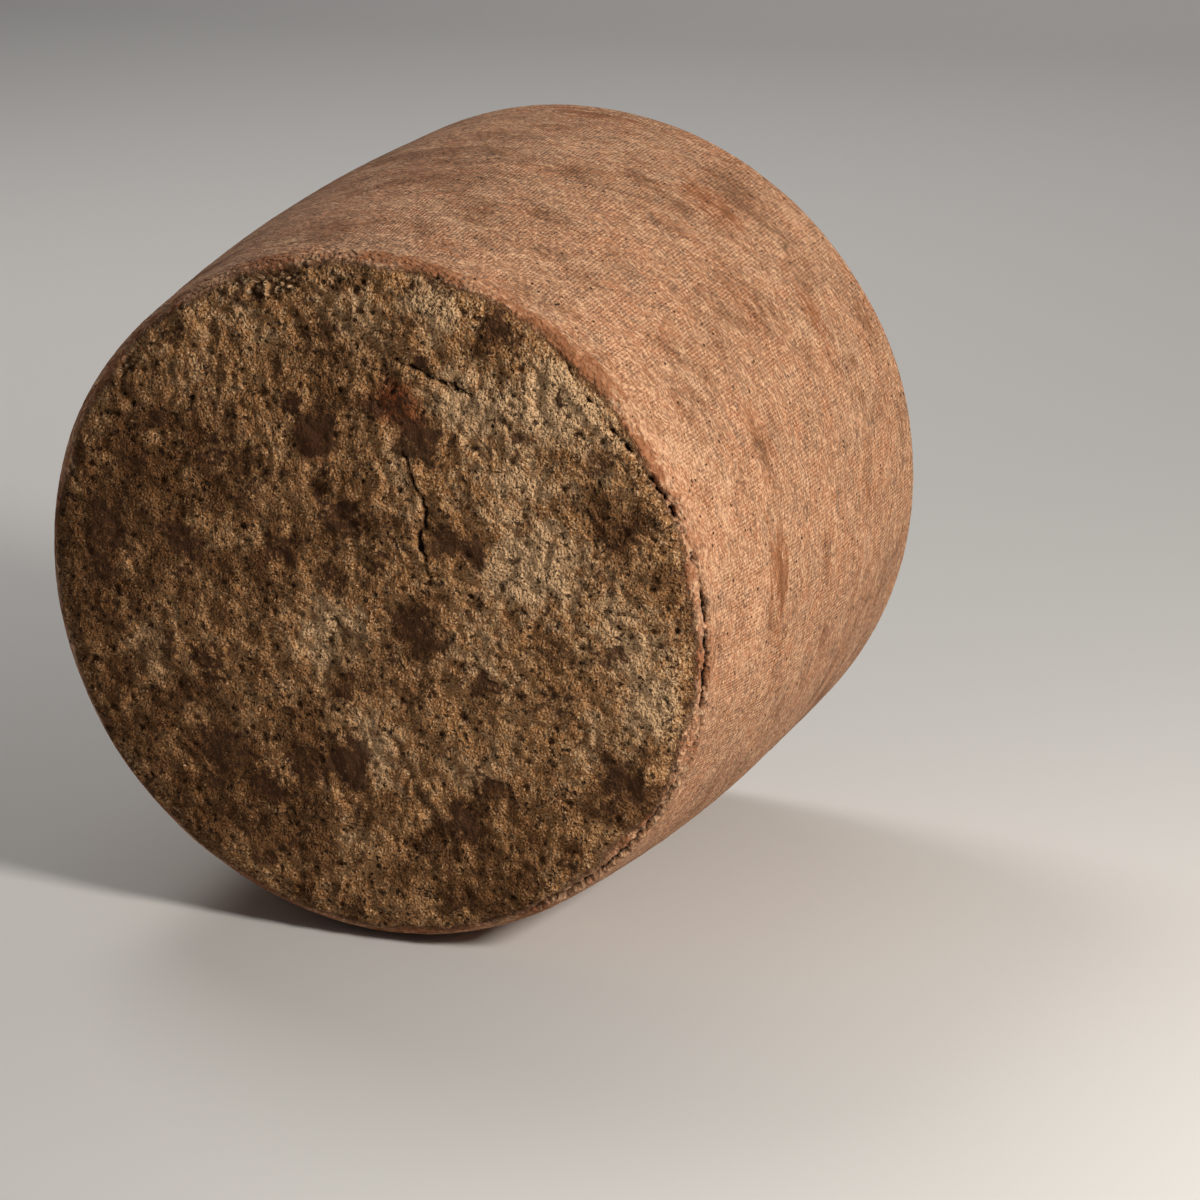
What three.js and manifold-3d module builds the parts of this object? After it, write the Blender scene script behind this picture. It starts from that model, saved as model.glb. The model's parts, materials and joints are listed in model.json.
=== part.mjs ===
/**
 * A large aged cheese wheel, lying on its side.
 *
 * The wheel is one solid drum of cheese. Its side swells like a barrel: it is widest close to
 * the back end and tapers towards the front end, and a round shoulder joins it to each end
 * face. A drum of this shape leans forward when it lies down, until its weight is over the
 * line that it lies on, and that weight has pressed a small flat spot into its side.
 *
 * Units are millimetres. +Z is up. The wheel's axis runs along Y and rises a little towards
 * the back, and the front end looks towards -Y. The origin is under the middle of the wheel,
 * on the surface that it lies on.
 */
import * as THREE from 'three';
import { mergeVertices } from 'three/addons/utils/BufferGeometryUtils.js';
import Module from 'manifold-3d';

// Driving dimensions. A station is a distance along the axis, from the front end face.
const WHEEL_LENGTH = 312;
const WIDEST_RADIUS = 200;
const WIDEST_STATION = 275;
const TAPER = 20.5; // how far the side would fall, from its widest ring to the front end face
const TAPER_POWER = 2.3; // 2 is a parabola, and more keeps the side straighter near its middle
const FRONT_SHOULDER = { depth: 14, height: 19 }; // along the axis, and across it
const BACK_SHOULDER = { depth: 19, height: 26 };
const FLAT_SPOT_DEPTH = 3;

// How finely the drum is faceted.
const TURN_SEGMENTS = 80;
const SIDE_STEPS = 14;
const SHOULDER_STEPS = 5;

const RIND_COLOUR = 0x9a6f52;

/** Radius of the side at a station. */
function sideRadius(station) {
  return WIDEST_RADIUS - TAPER * Math.abs(1 - station / WIDEST_STATION) ** TAPER_POWER;
}

/** Rise of the side for each millimetre along the axis, in front of the widest ring. */
function sideSlope(station) {
  const toWidest = Math.abs(1 - station / WIDEST_STATION);
  return (TAPER * TAPER_POWER / WIDEST_STATION) * toWidest ** (TAPER_POWER - 1);
}

/** A quarter of an ellipse from an end face out to the side, as (radius, station) points. */
function shoulderPoints(shoulder, faceStation, inward) {
  const sideStation = faceStation + inward * shoulder.depth;
  const faceRadius = sideRadius(sideStation) - shoulder.height;
  const points = [];
  for (let step = 0; step <= SHOULDER_STEPS; step += 1) {
    const angle = (Math.PI / 2) * (step / SHOULDER_STEPS);
    const radius = faceRadius + shoulder.height * Math.sin(angle);
    const station = faceStation + inward * shoulder.depth * (1 - Math.cos(angle));
    points.push(new THREE.Vector2(radius, station));
  }
  return points;
}

/** The drum's half outline, from the axis on the front face round to the axis on the back. */
function drumOutline() {
  const front = shoulderPoints(FRONT_SHOULDER, 0, 1);
  const back = shoulderPoints(BACK_SHOULDER, WHEEL_LENGTH, -1).reverse();
  const sideStart = FRONT_SHOULDER.depth;
  const sideEnd = WHEEL_LENGTH - BACK_SHOULDER.depth;
  const side = [];
  for (let step = 1; step < SIDE_STEPS; step += 1) {
    const station = sideStart + (sideEnd - sideStart) * (step / SIDE_STEPS);
    side.push(new THREE.Vector2(sideRadius(station), station));
  }
  const frontCentre = new THREE.Vector2(0, 0);
  const backCentre = new THREE.Vector2(0, WHEEL_LENGTH);
  return [frontCentre, ...front, ...side, ...back, backCentre];
}

/** Station of the drum's centre of gravity, from slices between the outline's points. */
function balanceStation(outline) {
  let volume = 0;
  let moment = 0;
  for (let index = 1; index < outline.length; index += 1) {
    const [start, end] = [outline[index - 1], outline[index]];
    const slice = ((start.x + end.x) / 2) ** 2 * (end.y - start.y);
    volume += slice;
    moment += slice * (start.y + end.y) / 2;
  }
  return moment / volume;
}

/** Station that the drum lies on: there, straight down from the side is the way to gravity. */
function restingStation(outline) {
  const balance = balanceStation(outline);
  let station = balance;
  for (let pass = 0; pass < 30; pass += 1) {
    station = balance - sideRadius(station) * sideSlope(station);
  }
  return station;
}

/** A closed mesh's geometry as a manifold solid. */
function toSolid(wasm, geometry) {
  const bare = geometry.clone();
  bare.deleteAttribute('normal');
  bare.deleteAttribute('uv');
  const merged = mergeVertices(bare);
  const vertProperties = new Float32Array(merged.attributes.position.array);
  const triVerts = new Uint32Array(merged.index.array);
  return new wasm.Manifold(new wasm.Mesh({ numProp: 3, vertProperties, triVerts }));
}

/** A manifold solid as a flat-shaded geometry. */
function toGeometry(solid) {
  const mesh = solid.getMesh();
  const geometry = new THREE.BufferGeometry();
  geometry.setAttribute('position', new THREE.BufferAttribute(mesh.vertProperties, 3));
  geometry.setIndex(new THREE.BufferAttribute(mesh.triVerts, 1));
  geometry.computeVertexNormals();
  return geometry;
}

/** The whole drum, leaning forward, with the underside of its flat spot at height 0. */
function leaningDrum() {
  const outline = drumOutline();
  const station = restingStation(outline);
  const lean = Math.atan(sideSlope(station));
  const drum = new THREE.LatheGeometry(outline, TURN_SEGMENTS);
  drum.rotateX(lean);
  const lowest = station * Math.sin(lean) - sideRadius(station) * Math.cos(lean);
  drum.translate(0, 0, -lowest - FLAT_SPOT_DEPTH);
  return drum;
}

/** A block with its top at height 0, larger than the drum, that trims the flat spot. */
function groundBlock() {
  const size = 4 * WIDEST_RADIUS;
  const block = new THREE.BoxGeometry(size, size, size);
  block.translate(0, 0, -size / 2);
  return block;
}

const wasm = await Module();
wasm.setup();

const drumSolid = toSolid(wasm, leaningDrum());
const wheelGeometry = toGeometry(drumSolid.subtract(toSolid(wasm, groundBlock())));
wheelGeometry.computeBoundingBox();
const middle = wheelGeometry.boundingBox.getCenter(new THREE.Vector3());
wheelGeometry.translate(-middle.x, -middle.y, 0);

const rind = new THREE.MeshStandardMaterial({ color: RIND_COLOUR, roughness: 0.9, metalness: 0 });
const cheeseWheel = new THREE.Mesh(wheelGeometry, rind);
cheeseWheel.name = 'cheese_wheel';

const group = new THREE.Group();
group.add(cheeseWheel);

export default group;
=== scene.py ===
"""The looks of a large aged cheese wheel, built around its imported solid.

The wheel is one natural thing: a drum of cheese lying on its side. Its side keeps the marks of
the pressing cloth in a dry salmon-tan rind. Its end faces are bare, rough and pitted crusts
under grey bloom and dark mould, and a pressing seam runs round the rim between the two.
"""

import json
import logging
import math
from dataclasses import dataclass, field, replace
from enum import Enum
from itertools import product
from typing import Any, Protocol, Sequence

import bpy
import numpy as np
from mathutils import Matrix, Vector

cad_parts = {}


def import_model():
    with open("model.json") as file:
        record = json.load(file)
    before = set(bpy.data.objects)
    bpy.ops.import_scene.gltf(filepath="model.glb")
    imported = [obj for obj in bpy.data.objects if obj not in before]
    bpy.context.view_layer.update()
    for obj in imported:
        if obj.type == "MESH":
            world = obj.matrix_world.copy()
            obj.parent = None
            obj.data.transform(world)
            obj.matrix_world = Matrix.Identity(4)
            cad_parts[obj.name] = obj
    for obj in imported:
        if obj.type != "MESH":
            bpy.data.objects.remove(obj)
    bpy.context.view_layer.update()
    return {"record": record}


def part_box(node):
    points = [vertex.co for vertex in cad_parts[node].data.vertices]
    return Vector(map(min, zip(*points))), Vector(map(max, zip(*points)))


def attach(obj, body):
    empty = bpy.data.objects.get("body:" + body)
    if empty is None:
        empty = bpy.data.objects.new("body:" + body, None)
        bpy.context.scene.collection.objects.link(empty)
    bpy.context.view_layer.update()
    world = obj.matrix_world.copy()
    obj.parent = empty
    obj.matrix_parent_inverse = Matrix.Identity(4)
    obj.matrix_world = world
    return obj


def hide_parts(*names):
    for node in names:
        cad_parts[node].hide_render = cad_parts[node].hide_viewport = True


LOG = logging.getLogger("cheese_wheel")
NODE = "cheese_wheel"
GAP = "gap"  # the mesh attribute that holds the distance to the nearest crack
LAY = "lay"  # the mesh attribute that holds the place on the smooth drum
MM = 0.001
MM_IN_METRE = 1000
HALF_TURN = 180  # degrees
FULL_TURN = 360

Array = np.ndarray
Colour = tuple[float, float, float, float]


class Mark(Enum):
    """What the rind's finish is told at each vertex, as a share from 0 to 1."""

    CRUST = "crust"  # bare end face, against cloth-marked side
    HOLLOW_SHADE = "hollow"  # painted shade inside pits, slits, cracks, seams, pores and the gaps of nicks
    MOULD = "mould"  # soft dark felt
    UMBER_AND_SHADE = "umber"  # broad darker tone, partly painted shade: the front face darker to its left, the side darker on top
    BLOOM = "bloom"  # pale grey dust
    RUST = "rust"  # reddish stain
    STAIN = "stain"  # brown shade on the side and round the rim
    FRESH = "fresh"  # pale cheese that a chip has bared


class End(Enum):
    """The wheel's two ends."""

    FRONT = "front"
    BACK = "back"


def smooth_step(low: float, high: float, value: Array) -> Array:
    """Rises smoothly from 0 at low to 1 at high.

    Args:
        low: Where the rise starts. It may be above high, for a fall.
        high: Where the rise ends.
        value: The numbers to grade.

    Returns:
        The graded numbers.
    """
    share = np.clip((value - low) / (high - low), 0.0, 1.0)
    return share * share * (3.0 - 2.0 * share)


def bell(distance: Array, width: float | Array) -> Array:
    """A bell that is 1 at distance 0 and has faded at about twice its width."""
    return np.exp(-((distance / width) ** 2))


def wrapped(turn: Array) -> Array:
    """Angles in degrees, brought to between -180 and 180."""
    return (turn + HALF_TURN) % FULL_TURN - HALF_TURN


def add_object(name: str, data: bpy.types.ID) -> bpy.types.Object:
    """Adds an object to the scene.

    Args:
        name: Its name.
        data: Its mesh, light or camera.

    Returns:
        The object.
    """
    made = bpy.data.objects.new(name, data)
    bpy.context.scene.collection.objects.link(made)
    return made


class Noise:
    """Seeded noise over points in space, worked out for whole arrays at once."""

    SIZE = 256
    GAIN = 1.6  # brings plain noise to about -1 to 1
    OCTAVE_SHIFT = 17.3  # keeps the octaves from lining up

    def __init__(self, seed: int) -> None:
        """Draws the noise's tables.

        Args:
            seed: Sets the pattern, so that each run gives the same one.
        """
        draw = np.random.default_rng(seed)
        self.order = draw.permutation(self.SIZE)
        directions = draw.normal(size=(self.SIZE, 3))
        lengths = np.linalg.norm(directions, axis=1, keepdims=True)
        self.directions = (directions / lengths).astype(np.float32)
        self.spots = draw.uniform(size=(self.SIZE, 3)).astype(np.float32)

    def _pick(self, cell: Array) -> Array:
        """Picks a table index for each cell.

        Args:
            cell: Whole-numbered corners, one row for each cell.

        Returns:
            One index for each row.
        """
        mask = self.SIZE - 1
        index = self.order[cell[:, 0] & mask]
        index = self.order[(index + cell[:, 1]) & mask]
        return self.order[(index + cell[:, 2]) & mask]

    def plain(self, points: Array) -> Array:
        """Gradient noise of wavelength 1.

        Args:
            points: Where, in wavelengths.

        Returns:
            One value for each point, from about -1 to 1.
        """
        cell = np.floor(points).astype(np.int64)
        local = (points - cell).astype(np.float32)
        fade = local**3 * (local * (local * 6 - 15) + 10)
        total = np.zeros(len(points), np.float32)
        for corner in product((0, 1), repeat=3):
            step = np.array(corner)
            slope = self.directions[self._pick(cell + step)]
            weight = np.prod(np.where(step, fade, 1 - fade), axis=1)
            total += weight * np.einsum("ij,ij->i", slope, local - step.astype(np.float32))
        return self.GAIN * total

    def layers(self, points: Array, wavelength: float, count: int = 3, keep: float = 0.5) -> Array:
        """Several octaves of noise, from about -1 to 1.

        Args:
            points: Where, in metres.
            wavelength: The coarsest octave's, in metres.
            count: How many octaves, each half as long as the one before.
            keep: How strong each octave is against the one before.

        Returns:
            One value for each point.
        """
        total = np.zeros(len(points))
        strength, full = 1.0, 0.0
        for octave in range(count):
            shift = self.OCTAVE_SHIFT * octave
            total += strength * self.plain(points * (2**octave / wavelength) + shift)
            full += strength
            strength *= keep
        return total / full

    def cells(self, points: Array, size: float) -> tuple[Array, Array]:
        """Distance to the nearest of many scattered spots, and that spot's own number.

        Args:
            points: Where, in metres.
            size: How far apart the spots are, in metres.

        Returns:
            The distance as a share of size, and a number from 0 to 1 for the nearest spot.
        """
        scaled = points / size
        base = np.floor(scaled).astype(np.int64)
        nearest = np.full(len(points), np.inf)
        owner = np.zeros(len(points))
        for corner in product((-1, 0, 1), repeat=3):
            cell = base + np.array(corner)
            index = self._pick(cell)
            away = np.linalg.norm(scaled - cell - self.spots[index], axis=1)
            closer = away < nearest
            nearest = np.where(closer, away, nearest)
            owner = np.where(closer, index / self.SIZE, owner)
        return nearest, owner


@dataclass(frozen=True)
class Shoulder:
    """The rounded rim between an end face and the side, a quarter of an ellipse."""

    depth: float  # along the axis
    height: float  # across it


@dataclass(frozen=True)
class Drum:
    """The wheel's smooth shape, in metres. A station is a distance behind the front face."""

    front: Array
    back: Array
    widest_radius: float
    widest_station: float = 275 * MM
    taper: float = 20.5 * MM
    taper_power: float = 2.3
    front_shoulder: Shoulder = Shoulder(14 * MM, 19 * MM)
    back_shoulder: Shoulder = Shoulder(19 * MM, 26 * MM)

    SHOULDER_POINTS = 60
    SIDE_POINTS = 400

    @classmethod
    def from_frame(cls, record: dict[str, Any], low: Vector, high: Vector) -> "Drum":
        """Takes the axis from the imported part's end mounts, and the size from its box.

        Args:
            record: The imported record.
            low: The solid's lowest corner.
            high: The solid's highest corner.

        Returns:
            The drum, where the solid lies.
        """
        places = {mount["name"]: np.array(mount["pos_m"]) for mount in record["mounts"]}
        return cls(places["front_end"], places["back_end"], (high.x - low.x) / 2)

    @property
    def length(self) -> float:
        """Distance between the end faces."""
        return float(np.linalg.norm(self.back - self.front))

    @property
    def axes(self) -> Array:
        """Unit vectors across the wheel, along its axis and up its front face, as rows."""
        across = np.array([1.0, 0.0, 0.0])
        along = (self.back - self.front) / self.length
        return np.array([across, along, np.cross(across, along)])

    def side_radius(self, station: Array) -> Array:
        """Radius of the side at some stations."""
        to_widest = np.abs(1 - station / self.widest_station)
        return self.widest_radius - self.taper * to_widest**self.taper_power

    def shoulder(self, end: End) -> Shoulder:
        """An end's shoulder."""
        return self.front_shoulder if end is End.FRONT else self.back_shoulder

    def face_radius(self, end: End) -> float:
        """Radius of an end's flat face, inside its shoulder.

        Args:
            end: Which end.

        Returns:
            The radius.
        """
        shoulder = self.shoulder(end)
        station = shoulder.depth if end is End.FRONT else self.length - shoulder.depth
        return float(self.side_radius(np.array(station)) - shoulder.height)

    def _shoulder_points(self, end: End) -> Array:
        """The outline of an end's rim.

        Args:
            end: Which end.

        Returns:
            (station, radius) points, from the face out to the side.
        """
        turn = np.linspace(0, math.pi / 2, self.SHOULDER_POINTS)
        shoulder = self.shoulder(end)
        station = shoulder.depth * (1 - np.cos(turn))
        if end is End.BACK:
            station = self.length - station
        radius = self.face_radius(end) + shoulder.height * np.sin(turn)
        return np.stack([station, radius], axis=1)

    def flank(self) -> Array:
        """The outline from the front face's edge over the side to the back's.

        Returns:
            (station, radius) points.
        """
        first, last = self.front_shoulder.depth, self.length - self.back_shoulder.depth
        stations = np.linspace(first, last, self.SIDE_POINTS)
        side = np.stack([stations, self.side_radius(stations)], axis=1)[1:-1]
        front = self._shoulder_points(End.FRONT)
        back = self._shoulder_points(End.BACK)[::-1]
        return np.concatenate([front, side, back])

    def to_frame(self, places: Array) -> Array:
        """Turns (across, station, up) rows into the frame's coordinates."""
        return self.front + places @ self.axes


@dataclass
class Skin:
    """The wheel's vertices, and what is known at each, with one entry for each vertex."""

    drum: Drum
    places: Array  # across, station, up, before any relief
    normals: Array  # outward, in the same axes
    front_reach: Array  # distance along the skin from the front face's centre
    back_reach: Array
    quads: Array
    height: Array = field(init=False)
    gap: Array = field(init=False)  # distance to the nearest crack, in half-widths of it
    marks: dict[Mark, Array] = field(init=False)

    GAP_LIMIT = 4.0

    def __post_init__(self) -> None:
        """Starts with no relief, no cracks and no marks."""
        self.height = np.zeros(len(self.places))
        self.gap = np.full(len(self.places), self.GAP_LIMIT)
        self.marks = {mark: np.zeros(len(self.places)) for mark in Mark}

    @property
    def angle(self) -> Array:
        """Each vertex's turn round the axis, in degrees: 0 at +X, and 90 on top."""
        return np.degrees(np.arctan2(self.places[:, 2], self.places[:, 0]))

    def reach(self, end: End) -> Array:
        """Distance along the skin from the centre of an end's face."""
        return self.front_reach if end is End.FRONT else self.back_reach

    def stretched(self, share: float) -> Array:
        """Places squeezed across the axis, so that noise on them is drawn out round the wheel."""
        return self.places * np.array([share, 1.0, share])

    def raise_by(self, amount: Array, where: Array | None = None) -> None:
        """Adds relief to the skin.

        Args:
            amount: How much, in metres.
            where: Which vertices, or None for all.
        """
        if where is None:
            self.height += amount
        else:
            self.height[where] += amount

    def open_gap(self, relative: Array, where: Array) -> None:
        """Keeps the nearer of the old and new cracks at some vertices."""
        self.gap[where] = np.minimum(self.gap[where], relative)

    def mark(self, mark: Mark, share: Array, where: Array | None = None) -> None:
        """Keeps the stronger of a mark's old and new shares at each vertex.

        Args:
            mark: Which mark.
            share: The new shares.
            where: Which vertices they are for, or None for all.
        """
        target = self.marks[mark]
        if where is None:
            np.maximum(target, share, out=target)
        else:
            target[where] = np.maximum(target[where], share)


@dataclass(frozen=True)
class SkinWeaver:
    """Lays a fine mesh of quads over the drum: a round grid on each end, and rings between."""

    face_steps: int = 256  # quads across an end face, and a quarter of those round the side
    rim_spacing: float = 0.75 * MM
    side_spacing: float = 1.9 * MM
    rim_reach: float = 46 * MM  # how far the finer rings of the front rim go

    def weave(self, drum: Drum) -> Skin:
        """Makes the skin.

        Args:
            drum: The smooth shape.

        Returns:
            The skin, with no relief yet.
        """
        flank = drum.flank()
        steps = np.linalg.norm(np.diff(flank, axis=0), axis=1)
        travel = np.concatenate([[0.0], np.cumsum(steps)])
        rings = self._ring_travel(travel[-1])
        tangents = np.gradient(flank, travel, axis=0)
        tangents /= np.linalg.norm(tangents, axis=1, keepdims=True)
        station, radius = (np.interp(rings, travel, flank[:, axis]) for axis in (0, 1))
        slope, rise = (np.interp(rings, travel, tangents[:, axis]) for axis in (0, 1))
        front_radius, back_radius = drum.face_radius(End.FRONT), drum.face_radius(End.BACK)
        grid, edge = self._round_grid()
        turn = self._turns()
        circle = np.stack([np.cos(turn), np.sin(turn)], axis=1)

        inner = rings[1:-1]
        side_places = np.concatenate([
            np.stack([r * circle[:, 0], np.full(len(turn), s), r * circle[:, 1]], axis=1)
            for s, r in zip(station[1:-1], radius[1:-1])
        ])
        side_normals = np.concatenate([
            np.stack([a * circle[:, 0], np.full(len(turn), -b), a * circle[:, 1]], axis=1)
            for a, b in zip(slope[1:-1], rise[1:-1])
        ])
        caps = []
        for cap_radius, cap_station in ((front_radius, 0.0), (back_radius, drum.length)):
            flat = cap_radius * grid
            caps.append(np.stack([flat[:, 0], np.full(len(flat), cap_station), flat[:, 1]], axis=1))
        out = np.array([0.0, 1.0, 0.0])
        normals = [np.tile(-out, (len(grid), 1)), side_normals, np.tile(out, (len(grid), 1))]
        grid_reach = np.linalg.norm(grid, axis=1)
        side_reach = np.repeat(inner, len(turn))
        far = front_radius + travel[-1]
        front_reach = [front_radius * grid_reach, front_radius + side_reach]
        front_reach.append(far + back_radius * (1 - grid_reach))
        back_reach = [back_radius + travel[-1] + front_radius * (1 - grid_reach)]
        back_reach += [back_radius + travel[-1] - side_reach, back_radius * grid_reach]
        return Skin(
            drum=drum,
            places=np.concatenate([caps[0], side_places, caps[1]]),
            normals=np.concatenate(normals),
            front_reach=np.concatenate(front_reach),
            back_reach=np.concatenate(back_reach),
            quads=self._quads(len(grid), edge, len(inner)),
        )

    def _turns(self) -> Array:
        """The turn of each column of the side, in the order of an end grid's edge."""
        count = 4 * self.face_steps
        return -math.pi / 4 + 2 * math.pi * np.arange(count) / count

    def _ring_travel(self, total: float) -> Array:
        """Spaces the side's rings, more finely near the front rim.

        Args:
            total: Distance along the skin from the front face's edge to the back's.

        Returns:
            Each ring's distance from the front face's edge.
        """
        fine = np.arange(0, self.rim_reach, self.rim_spacing)
        count = round((total - self.rim_reach) / self.side_spacing)
        return np.concatenate([fine, np.linspace(self.rim_reach, total, count + 1)])

    def _round_grid(self) -> tuple[Array, Array]:
        """A square grid bent into a disc of radius 1.

        Returns:
            The grid's points, and the indices of its edge points by rising angle.
        """
        count = self.face_steps
        ticks = np.linspace(-1, 1, count + 1)
        wide, tall = np.meshgrid(ticks, ticks, indexing="ij")
        sideways = np.abs(wide) > np.abs(tall)
        safe_wide = np.where(wide == 0, 1, wide)
        safe_tall = np.where(tall == 0, 1, tall)
        reach = np.where(sideways, wide, tall)
        turn = np.where(
            sideways,
            math.pi / 4 * tall / safe_wide,
            math.pi / 2 - math.pi / 4 * wide / safe_tall,
        )
        points = np.stack([reach * np.cos(turn), reach * np.sin(turn)], axis=2).reshape(-1, 2)
        index = np.arange((count + 1) ** 2).reshape(count + 1, count + 1)
        edge = [index[-1, :-1], index[::-1, -1][:-1], index[0, ::-1][:-1], index[:-1, 0]]
        return points, np.concatenate(edge)

    def _quads(self, cap_count: int, edge: Array, ring_count: int) -> Array:
        """Corner indices of every quad, turned outward.

        Args:
            cap_count: How many vertices an end grid has.
            edge: An end grid's edge vertices, by rising angle.
            ring_count: How many rings lie between the two end grids.

        Returns:
            One row of four indices for each quad.
        """
        count = self.face_steps
        index = np.arange(cap_count).reshape(count + 1, count + 1)
        corners = [index[:-1, :-1], index[1:, :-1], index[1:, 1:], index[:-1, 1:]]
        cap = np.stack([corner.ravel() for corner in corners], axis=1)
        columns = len(edge)
        back_start = cap_count + ring_count * columns
        rings = cap_count + np.arange(ring_count * columns).reshape(ring_count, columns)
        rows = np.concatenate([edge[None], rings, back_start + edge[None]])
        after = np.roll(rows, -1, axis=1)
        sides = [rows[:-1], rows[1:], after[1:], after[:-1]]
        side = np.stack([corner.ravel() for corner in sides], axis=1)
        return np.concatenate([cap, side, back_start + cap[:, ::-1]])


@dataclass(frozen=True)
class Patch:
    """A soft-edged patch on an end face, in millimetres from the face's centre."""

    across: float
    up: float
    radius: float
    strength: float = 1.0

    def turned(self, degrees: float) -> "Patch":
        """The same patch, turned about the face's middle.

        Args:
            degrees: How far.

        Returns:
            The turned patch.
        """
        turn = math.radians(degrees)
        across = self.across * math.cos(turn) - self.up * math.sin(turn)
        up = self.across * math.sin(turn) + self.up * math.cos(turn)
        return replace(self, across=across, up=up)


@dataclass(frozen=True)
class SidePatch:
    """A soft-edged patch on the side, with its length round the wheel."""

    station: float  # mm behind the front face
    angle: float  # degrees round the axis
    length: float  # mm round the wheel
    width: float  # mm along the axis
    strength: float = 1.0
    mark: Mark = Mark.STAIN


@dataclass(frozen=True)
class Crack:
    """A crack or groove on an end face, along points in millimetres from its centre."""

    route: tuple[tuple[float, float], ...]
    width: float
    depth: float
    # dark: how much painted shade fills the crack
    dark: float = 1.0


def distance_to_route(points: Array, route: Sequence[tuple[float, float]]) -> Array:
    """Measures how far points lie from a route.

    Args:
        points: 2-D points, one row each.
        route: The route's corners.

    Returns:
        Distance from each point to the nearest stretch.
    """
    nearest = np.full(len(points), np.inf)
    for start, end in zip(route, route[1:]):
        begin, step = np.array(start), np.array(end) - np.array(start)
        share = np.clip((points - begin) @ step / (step @ step), 0, 1)
        away = np.linalg.norm(points - begin - share[:, None] * step, axis=1)
        nearest = np.minimum(nearest, away)
    return nearest


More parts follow.
